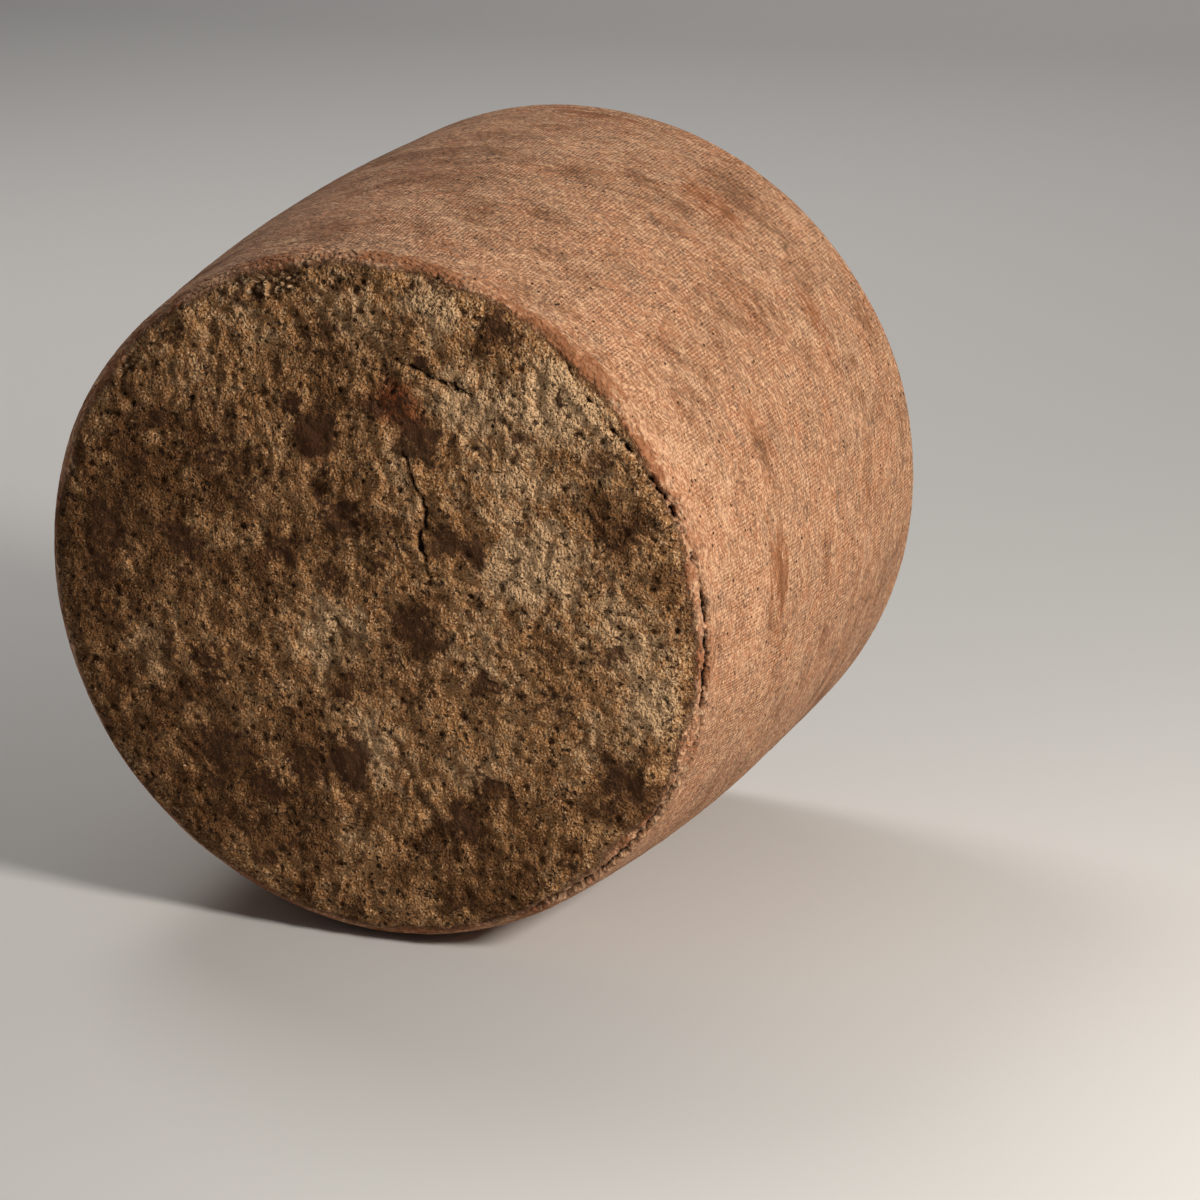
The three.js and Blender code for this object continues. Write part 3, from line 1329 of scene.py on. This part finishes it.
@dataclass(frozen=True)
class ClothFinish:
    """Colours and cloth marks of the side."""

    salmon: Colour = (0.490, 0.203, 0.099, 1)
    tan: Colour = (0.375, 0.185, 0.098, 1)
    pale: Colour = (0.830, 0.500, 0.300, 1)
    mauve: Colour = (0.185, 0.105, 0.070, 1)
    orange: Colour = (0.380, 0.120, 0.042, 1)
    brown: Colour = (0.140, 0.060, 0.024, 1)
    dusk: Colour = (0.500, 0.430, 0.370, 1)  # multiplies the colours under it; partly painted shade, darkening the side's top
    threads_round: int = 640
    thread_pitch: float = 2.6 * MM
    bare_rim: float = 28 * MM  # the cloth's marks fade towards the rims

    def colour(self, sheet: NodeSheet, lay: Value, weave: Value) -> Value:
        """The side's colour, before painted shade darkens its pits, cracks, seams and pores.

        Args:
            sheet: The material's nodes.
            lay: The place on the smooth drum.
            weave: The cloth's threads, from -1 to 1, whose tops get a painted highlight and whose grooves
                get painted shade.

        Returns:
            The colour.
        """
        drawn = sheet.scaled(sheet.bent(lay, 12 * MM, 4 * MM), (0.5, 1.0, 0.5))
        cloud = sheet.noise(lay, 34 * MM, 4, 0.65).graded(0.40, 0.60)
        base = sheet.mixed(cloud, self.tan, self.salmon)
        blush = sheet.noise(drawn, 4.5 * MM, 2, 0.65)
        base = sheet.mixed(blush.graded(0.51, 0.66) * 0.7, base, self.orange)
        base = sheet.mixed(blush.graded(0.47, 0.32) * 0.75, base, self.pale)
        warmth = sheet.noise(sheet.scaled(lay, (0.7, 1.0, 0.7)), 18 * MM, 4, 0.66)
        base = sheet.mixed(warmth.graded(0.53, 0.66) * 0.6, base, self.orange)
        base = sheet.mixed(warmth.graded(0.47, 0.34) * 0.5, base, self.pale)
        mottle = sheet.noise(drawn, 7 * MM, 3, 0.7)
        base = sheet.mixed(mottle.graded(0.53, 0.65) * 0.8, base, self.mauve)
        smudge = sheet.noise(drawn, 12 * MM, 4, 0.7)
        base = sheet.mixed(smudge.graded(0.56, 0.68) * 0.7, base, self.mauve)
        streak = sheet.noise(sheet.scaled(lay, (0.16, 1.0, 0.16)), 6 * MM, 3, 0.65)
        base = sheet.mixed(streak.graded(0.52, 0.66) * 0.6, base, self.tan)
        fleck = sheet.noise(drawn, 1.2 * MM, 1, 0.5) + sheet.mark(Mark.BLOOM) * 0.07
        base = sheet.mixed(fleck.graded(0.52, 0.68) * 0.9, base, self.pale)
        base = sheet.mixed(fleck.graded(0.46, 0.32) * 0.95, base, self.mauve)
        # Painted highlight on the threads' tops and painted shade in the grooves between them.
        base = sheet.mixed((weave * 0.5 + 0.5).held() * 0.35, base, self.pale)
        base = sheet.mixed((weave * -0.5 + 0.5).held() * 0.5, base, self.brown)
        base = sheet.mixed(sheet.mark(Mark.RUST) * 0.7, base, self.orange)
        ragged = sheet.noise(drawn, 3 * MM, 3, 0.7) - 0.5
        patchy = sheet.noise(sheet.scaled(lay, (0.6, 1.0, 0.6)), 26 * MM, 4, 0.66) * 4 - 2.0
        # Dust-like darker tone, with painted shade where the umber mark darkens the side's top.
        dust_and_shade = (sheet.mark(Mark.UMBER_AND_SHADE) * 0.6 + patchy + ragged * 0.8).graded(0.0, 0.9)
        base = sheet.mixed(dust_and_shade * 0.85, base, self.dusk, "MULTIPLY")
        stain = (sheet.mark(Mark.STAIN) + ragged * 1.4 + streak * 2.0 - 1.05).graded(0.1, 1.1)
        base = sheet.mixed(stain.graded(0.0, 0.5) * 0.6, base, self.orange)
        return sheet.mixed(stain * 0.7, base, self.brown)

    def weave(self, sheet: NodeSheet, lay: Value, length: float) -> Value:
        """The cloth's threads, from -1 to 1, worn away in places.

        Args:
            sheet: The material's nodes.
            lay: The place on the smooth drum.
            length: The drum's length.

        Returns:
            The threads' height.
        """
        station = sheet.part(lay, "Y")
        turn = sheet.part(lay, "Z").turn_to(sheet.part(lay, "X"))
        sway = sheet.noise(lay, 16 * MM, 3) * 9.0
        along = (turn * float(self.threads_round) + sway).sine()
        wobble = sheet.noise(lay, 2.4 * MM, 2) * 9.0
        round_wheel = (station * (2 * math.pi / self.thread_pitch) + wobble).sine()
        shown = sheet.noise(lay, 14 * MM, 4, 0.65).graded(0.38, 0.56) * 0.85 + 0.15
        clear = station.graded(0.2 * self.bare_rim, self.bare_rim)
        clear = clear * station.graded(length - 0.2 * self.bare_rim, length - self.bare_rim)
        return along * (round_wheel * 0.4 + 0.6) * shown * clear

    def pits(self, sheet: NodeSheet, lay: Value) -> Value:
        """The side's fine pores, 1 inside one."""
        bent = sheet.bent(lay, 2 * MM, 1.2 * MM)
        return sheet.pits(bent, 5.0 * MM, 0.19, 0.24)

    def relief(self, sheet: NodeSheet, lay: Value, weave: Value) -> Value:
        """The side's finest relief.

        Args:
            sheet: The material's nodes.
            lay: The place on the smooth drum.
            weave: The cloth's threads, from -1 to 1.

        Returns:
            Its height in metres.
        """
        drawn = sheet.scaled(lay, (0.6, 1.0, 0.6))
        grain = sheet.noise(drawn, 1.4 * MM, 1, 0.5) * (2.0 * MM)
        scuffs = sheet.noise(drawn, 4 * MM, 1, 0.5) * (2.6 * MM)
        return weave * (0.22 * MM) + grain + scuffs


@dataclass(frozen=True)
class RindFinish:
    """The wheel's one material: crust on the ends, cloth-marked rind on the side."""

    length: float  # of the drum
    crust: CrustFinish = CrustFinish()
    cloth: ClothFinish = ClothFinish()
    fresh: Colour = (0.64, 0.45, 0.28, 1)
    # painted shade inside pits, slits, cracks, seams and pores
    shade: Colour = (0.016, 0.008, 0.005, 1)
    gloss: float = 0.12
    pit_depth: float = 1.3 * MM
    gap_depth: float = 2.0 * MM

    def material(self) -> bpy.types.Material:
        """Builds the material.

        Returns:
            The material.
        """
        sheet = NodeSheet("aged_rind")
        lay = sheet.attribute(LAY, "Vector")
        ragged = sheet.noise(lay, 2.2 * MM, 4, 0.7) - 0.5
        ends = (sheet.mark(Mark.CRUST) + ragged * 1.4).graded(0.25, 0.75)
        sides = 1 - ends
        grain = sheet.noise(lay, 1.15 * MM, 1, 0.5)
        weave = self.cloth.weave(sheet, lay, self.length)
        side_colour = self.cloth.colour(sheet, lay, weave)
        colour = sheet.mixed(ends, side_colour, self.crust.colour(sheet, lay, grain))
        colour = sheet.mixed(sheet.mark(Mark.FRESH) * 0.85, colour, self.fresh)
        pits = self.crust.pits(sheet, lay) * ends + self.cloth.pits(sheet, lay) * sides
        # Near cracks and seams: painted shade, and a deeper groove in the relief.
        gap = (sheet.attribute(GAP, "Fac") + ragged * 3.0).graded(1.15, 0.7)
        # Painted shade inside pits, cracks, seams and pores, on top of their sunken relief.
        dark = (sheet.mark(Mark.HOLLOW_SHADE) * 0.85).most(pits * 0.88).most(gap)
        colour = sheet.mixed(dark, colour, self.shade)
        height = self.crust.relief(sheet, lay, grain) * ends
        height = height + self.cloth.relief(sheet, lay, weave) * sides
        height = height - pits * self.pit_depth - gap * self.gap_depth
        roughness = 0.7 + ends * 0.2
        return sheet.finish(colour, roughness, height, Specular_IOR_Level=self.gloss)


FRONT_MOULD = (
    Patch(-20, 92, 13), Patch(-35, 103, 8, 0.8), Patch(35, 90, 12), Patch(22, 104, 9, 0.8),
    Patch(47, 42, 11), Patch(63, 38, 9), Patch(-6, 44, 11, 0.75), Patch(-46, 24, 10, 0.75),
    Patch(-100, 28, 12, 0.75), Patch(-145, 30, 12, 0.8), Patch(-150, 5, 11, 0.6),
    Patch(-15, 10, 9, 0.75), Patch(31, -8, 11, 0.85), Patch(-12, -86, 12), Patch(-36, -95, 9, 0.7),
    Patch(-60, -106, 11, 0.85), Patch(-84, -90, 14, 0.75), Patch(50, -111, 11, 0.9),
    Patch(140, -82, 12, 0.8), Patch(78, 148, 9, 0.8), Patch(140, 50, 12, 0.5),
    Patch(-80, 74, 10, 0.65), Patch(-125, 70, 11, 0.5), Patch(105, -38, 10, 0.5),
    Patch(-60, 60, 9, 0.5), Patch(-100, -60, 11, 0.45),
)
# Broad darker patches. The large strong ones on the left and lower left are painted shade, darkening the
# face towards its left; the rest are the crust's own darker tone.
FRONT_UMBER = (
    Patch(-150, 20, 70, 1.0), Patch(-110, 70, 50, 0.8), Patch(-75, -110, 65, 1.0),
    Patch(-5, 115, 45, 0.6), Patch(140, 55, 28, 0.8), Patch(-20, 35, 45, 0.6),
    Patch(60, -130, 45, 0.7), Patch(145, -80, 30, 0.8), Patch(-135, -60, 55, 1.0),
    Patch(10, -35, 40, 0.5), Patch(75, 148, 22, 0.8), Patch(-90, 10, 40, 0.5),
)
FRONT_BLOOM = (
    Patch(97, 32, 28), Patch(110, 114, 28, 0.9), Patch(44, 158, 24, 0.8), Patch(0, 160, 24, 0.6),
    Patch(-18, -14, 22, 0.8), Patch(140, -4, 24, 0.8), Patch(152, -34, 20), Patch(6, -75, 24, 0.7),
    Patch(-118, -36, 22, 0.6), Patch(22, 68, 22, 0.6), Patch(-54, 148, 26, 0.5),
    Patch(64, 112, 22, 0.8), Patch(128, 96, 20, 0.7), Patch(-70, -60, 20, 0.4),
    Patch(85, 70, 32, 0.8), Patch(120, -60, 24, 0.6), Patch(-95, 125, 24, 0.5),
    Patch(65, -20, 26, 0.5), Patch(-10, -125, 26, 0.5), Patch(60, -80, 24, 0.5),
)
FRONT_RUST = (Patch(18, 111, 10), Patch(27, 103, 9, 0.8), Patch(-22, 84, 7, 0.5))
FRONT_CRACKS = (
    Crack(((26, 84), (31, 72), (35, 60), (37, 46), (32, 38), (36, 28), (38, 14)), 0.55, 2.6, 0.8),
    Crack(((-22, 155), (-5, 145), (10, 137), (24, 131)), 4.5, 1.4, 0.3),
    Crack(((24, 131), (38, 125), (54, 119), (64, 114)), 0.55, 2.0, 0.8),
    Crack(((8, -62), (16, -74), (22, -86), (18, -98)), 1.0, 1.4, 0.5),
    Crack(((24, -96), (34, -108), (30, -120)), 1.2, 1.6, 0.5),
    Crack(((-26, 62), (-14, 56), (-6, 40), (-2, 26)), 3.0, 1.6, 0.35),
)
BACK_CRACKS = (
    Crack(((-62, 34), (-48, 46), (-30, 47), (-12, 60)), 0.55, 2.2, 0.8),
    Crack(((48, -72), (60, -90), (58, -106)), 1.0, 1.6, 0.5),
)
FRONT_SEAM = (
    (-60, 14, 0.7), (-48, 17, 1.1), (-37, 19, 1.2), (-28, 20, 1.1), (-21, 25, 1.0), (-10, 21, 0.9),
    (3, 20, 0.8), (15, 17, 0.4), (22, 15, 0.7), (30, 10, 0.4), (48, 6, 0.3),
)
BACK_SEAM = (
    (120, 24, 0.3), (135, 28, 0.8), (150, 22, 0.9), (170, 25, 0.6), (185, 28, 0.9), (200, 20, 0.4),
)
FRONT_CHIPS = (
    (104, 17, 7.0), (97, 8, 14.0), (111, 7, 12.0), (137, 8, 8.0), (160, 5, 10.0), (122, 4, 12.0),
    (215, 7, 12.0), (228, 5, 8.0), (262, 6, 12.0), (75, 4, 14.0), (40, 5, 16.0), (22, 6, 18.0),
    (190, 4, 12.0),
)
BACK_CHIPS = ((60, 6, 14.0), (150, 10, 10.0), (200, 5, 16.0), (290, 8, 10.0), (340, 5, 16.0))
# The umber patch on top, at 95 degrees, is painted shade that darkens the side's top; the other umber
# patches are broad darker tone.
SIDE_PATCHES = (
    SidePatch(218, 55, 50, 22, 0.75), SidePatch(87, 2, 60, 18, 0.9), SidePatch(278, 84, 80, 26, 0.6),
    SidePatch(218, 34, 40, 18, 0.5), SidePatch(160, 120, 60, 30, 0.6), SidePatch(90, 200, 70, 26, 0.6),
    SidePatch(200, 260, 60, 26, 0.6), SidePatch(120, 310, 60, 24, 0.6), SidePatch(4, 54, 150, 16, 0.9),
    SidePatch(150, 95, 260, 260, 0.5, Mark.UMBER_AND_SHADE), SidePatch(250, 60, 140, 70, 0.5, Mark.UMBER_AND_SHADE),
    SidePatch(60, 130, 120, 80, 0.6, Mark.UMBER_AND_SHADE), SidePatch(150, 230, 240, 160, 0.6, Mark.UMBER_AND_SHADE),
    SidePatch(240, 330, 120, 60, 0.5, Mark.UMBER_AND_SHADE), SidePatch(130, 165, 120, 60, 0.4, Mark.UMBER_AND_SHADE),
    SidePatch(26, 30, 150, 44, 0.9, Mark.BLOOM), SidePatch(60, 0, 120, 60, 0.6, Mark.BLOOM),
    SidePatch(190, 43, 70, 30, 0.7, Mark.BLOOM), SidePatch(200, 180, 120, 50, 0.6, Mark.BLOOM),
    SidePatch(60, 290, 140, 50, 0.6, Mark.BLOOM),
)


class Layer(Protocol):
    """One layer of the wheel's relief and marks."""

    def shape(self, skin: Skin) -> None:
        """Adds the layer to the skin."""


@dataclass(frozen=True)
class Seeds:
    """Where each layer's noise starts. The chips of a rim count on from theirs."""

    front_crust: int = 11
    back_crust: int = 23
    side: int = 31
    front_seam: int = 41
    back_seam: int = 43
    front_chips: int = 53
    back_chips: int = 73


@dataclass
class CheeseWheel:
    """The whole wheel: one piece of natural cheese, with all its surface relief."""

    drum: Drum
    name: str = "aged_cheese_wheel"
    seeds: Seeds = Seeds()
    front_edge: float = 13 * MM  # from the flat face's edge to the crust's
    back_edge: float = 16 * MM
    back_crease: float = 22.0  # mm from the flat face's edge to the seam's crease
    settle_softness: float = 0.6 * MM
    back_turn: float = 150.0  # degrees from the front face's patches to the back's

    def build(self) -> bpy.types.Object:
        """Makes the wheel's mesh and dresses it.

        Returns:
            The wheel's object.
        """
        skin = SkinWeaver().weave(self.drum)
        for layer in self._layers():
            layer.shape(skin)
        return self._to_object(skin)

    def _layers(self) -> list[Layer]:
        """Lists the layers of relief and marks.

        Returns:
            The layers, in the order in which they go on.
        """
        seeds = self.seeds
        front_radius, back_radius = self.drum.face_radius(End.FRONT), self.drum.face_radius(End.BACK)
        front = (FRONT_MOULD, FRONT_UMBER, FRONT_BLOOM, FRONT_RUST)
        back = [
            tuple(patch.turned(self.back_turn) for patch in patches)
            for patches in front
        ]
        return [
            EndCrust(End.FRONT, seeds.front_crust, front_radius + self.front_edge, *front, FRONT_CRACKS),
            EndCrust(End.BACK, seeds.back_crust, back_radius + self.back_edge, *back, BACK_CRACKS),
            SideRind(seeds.side, SIDE_PATCHES),
            RimSeam(End.FRONT, seeds.front_seam, front_radius, FRONT_SEAM),
            RimSeam(End.BACK, seeds.back_seam, back_radius, BACK_SEAM, self.back_crease),
            *self._chips(End.FRONT, FRONT_CHIPS, seeds.front_chips),
            *self._chips(End.BACK, BACK_CHIPS, seeds.back_chips),
        ]

    def _chips(
        self, end: End, places: Sequence[tuple[float, float, float]], seed: int
    ) -> list[RimChip]:
        """The nicks of one rim.

        Args:
            end: Which end's rim.
            places: Each nick's angle, its size in mm, and its place in mm beyond the face's edge.
            seed: The first one's seed.

        Returns:
            The nicks.
        """
        edge = self.drum.face_radius(end)
        return [
            RimChip(end, seed + number, edge + beyond * MM, angle, size * MM)
            for number, (angle, size, beyond) in enumerate(places)
        ]

    def _to_object(self, skin: Skin) -> bpy.types.Object:
        """Turns the skin into a mesh object that lies on the ground.

        Args:
            skin: The finished skin.

        Returns:
            The object.
        """
        raised = skin.places + skin.normals * skin.height[:, None]
        points = self.drum.to_frame(raised)
        soft = self.settle_softness
        points[:, 2] = (points[:, 2] + np.sqrt(points[:, 2] ** 2 + soft**2)) / 2
        points[:, 2] -= points[:, 2].min()
        mesh = bpy.data.meshes.new(self.name)
        mesh.from_pydata(points.tolist(), [], skin.quads.tolist())
        mesh.shade_smooth()
        numbers = {mark.value: share for mark, share in skin.marks.items()}
        numbers[GAP] = skin.gap
        for name, values in numbers.items():
            attribute = mesh.attributes.new(name, "FLOAT", "POINT")
            attribute.data.foreach_set("value", values.astype(np.float32))
        lay = mesh.attributes.new(LAY, "FLOAT_VECTOR", "POINT")
        lay.data.foreach_set("vector", skin.places.astype(np.float32).ravel())
        mesh.materials.append(RindFinish(self.drum.length).material())
        return add_object(self.name, mesh)


@dataclass(frozen=True)
class Floor:
    """A wide pale floor that curves up far behind the wheel. Lengths are in metres."""

    width: float = 12.0
    front: float = -6.0
    depth: float = 4.0  # from the wheel's middle to where it starts to curve up
    bend: float = 1.5  # the curve's radius
    bend_points: int = 13
    rise: float = 4.0  # above the curve
    colour: Colour = (0.62, 0.61, 0.595, 1)
    roughness: float = 0.85
    gloss: float = 0.2

    def build(self) -> None:
        """Adds the floor to the scene."""
        turn = np.linspace(0, math.pi / 2, self.bend_points)
        curve = zip(self.depth + self.bend * np.sin(turn), self.bend * (1 - np.cos(turn)))
        line = [(self.front, 0.0), *curve, (self.depth + self.bend, self.bend + self.rise)]
        points = [(x, y, z) for y, z in line for x in (-self.width / 2, self.width / 2)]
        quads = [(2 * i, 2 * i + 1, 2 * i + 3, 2 * i + 2) for i in range(len(line) - 1)]
        mesh = bpy.data.meshes.new("studio_floor")
        mesh.from_pydata(points, [], quads)
        mesh.shade_smooth()
        mesh.materials.append(self._material())
        floor = add_object("studio_floor", mesh)

    def _material(self) -> bpy.types.Material:
        """The floor's plain material.

        Returns:
            The material.
        """
        sheet = NodeSheet("pale_floor")
        sockets = {
            "Base Color": self.colour,
            "Roughness": self.roughness,
            "Specular IOR Level": self.gloss,
        }
        sheet.surface(sheet.node("ShaderNodeBsdfPrincipled", {}, sockets))
        return sheet.material


@dataclass(frozen=True)
class Lamp:
    """A square soft light. Lengths are in metres."""

    name: str
    offset: tuple[float, float, float]  # from what it points at to the light
    size: float  # its side
    power: float  # in watts
    colour: tuple[float, float, float]
    target: tuple[float, float, float] | None = None  # what it points at, or the wheel if None

    def build(self, middle: Vector) -> None:
        """Adds the light to the scene.

        Args:
            middle: The wheel's middle.
        """
        data = bpy.data.lights.new(self.name, "AREA")
        data.shape = "SQUARE"
        data.size = self.size
        data.energy = self.power
        data.color = self.colour
        target = Vector(self.target) if self.target else middle
        offset = Vector(self.offset)
        lamp = add_object(self.name, data)
        lamp.location = target + offset
        lamp.rotation_euler = (-offset).to_track_quat("-Z", "Y").to_euler()


@dataclass(frozen=True)
class Studio:
    """The floor, the lights and the camera. Lengths are in metres."""

    lens: float = 102.0  # mm
    sensor: float = 36.0  # mm
    azimuth: float = 21.3  # degrees from the front towards +X
    pitch: float = 15.5  # degrees down
    distance: float = 1.703  # along the line of sight, to the front face's centre
    face_right: float = -0.1187  # the front face's centre, right of the line of sight
    face_up: float = -0.0037
    sky_colour: Colour = (0.95, 0.96, 1.0, 1)
    sky_strength: float = 0.09
    lamps: tuple[Lamp, ...] = (
        Lamp("key", (1.35, -0.54, 0.74), 0.3, 28.0, (1.0, 0.95, 0.88)),
        Lamp("rear", (-1.4, 1.0, 2.2), 1.0, 24.0, (1.0, 0.97, 0.93)),
        Lamp("backdrop", (0.6, -2.8, 3.0), 2.5, 60.0, (1.0, 0.98, 0.96), (-1.4, 5.0, 0.6)),
    )

    def build(self, drum: Drum) -> None:
        """Makes the studio round the wheel.

        Args:
            drum: The wheel's shape.
        """
        Floor().build()
        self._camera(drum)
        middle = Vector((drum.front + drum.back) / 2)
        for lamp in self.lamps:
            lamp.build(middle)
        self._sky()

    def _camera(self, drum: Drum) -> None:
        """Places the camera by where it sees the centre of the front face.

        Args:
            drum: The wheel's shape.
        """
        turn, dip = math.radians(self.azimuth), math.radians(self.pitch)
        right = Vector((math.cos(turn), math.sin(turn), 0))
        ahead = Vector((-math.sin(turn) * math.cos(dip), math.cos(turn) * math.cos(dip), -math.sin(dip)))
        up = right.cross(ahead)
        place = Vector(drum.front) - right * self.face_right - up * self.face_up
        data = bpy.data.cameras.new("camera")
        data.lens = self.lens
        data.sensor_width = self.sensor
        camera = add_object("camera", data)
        camera.location = place - ahead * self.distance
        camera.rotation_euler = ahead.to_track_quat("-Z", "Y").to_euler()
        bpy.context.scene.camera = camera

    def _sky(self) -> None:
        """Fills the world with a faint pale light."""
        world = bpy.data.worlds.new("studio")
        world.use_nodes = True
        background = world.node_tree.nodes["Background"]
        background.inputs["Color"].default_value = self.sky_colour
        background.inputs["Strength"].default_value = self.sky_strength
        bpy.context.scene.world = world


def main() -> None:
    """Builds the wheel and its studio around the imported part."""
    logging.basicConfig(level=logging.INFO, format="%(name)s: %(message)s")
    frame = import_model()
    drum = Drum.from_frame(frame["record"], *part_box(NODE))
    wheel = CheeseWheel(drum).build()
    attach(wheel, "root")
    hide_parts(NODE)
    LOG.info("%s: %d vertices, %d quads", wheel.name, len(wheel.data.vertices), len(wheel.data.polygons))
    Studio().build(drum)
    bpy.context.view_layer.update()
    bpy.context.scene.view_settings.view_transform = "Standard"


if __name__ == "__main__":
    main()
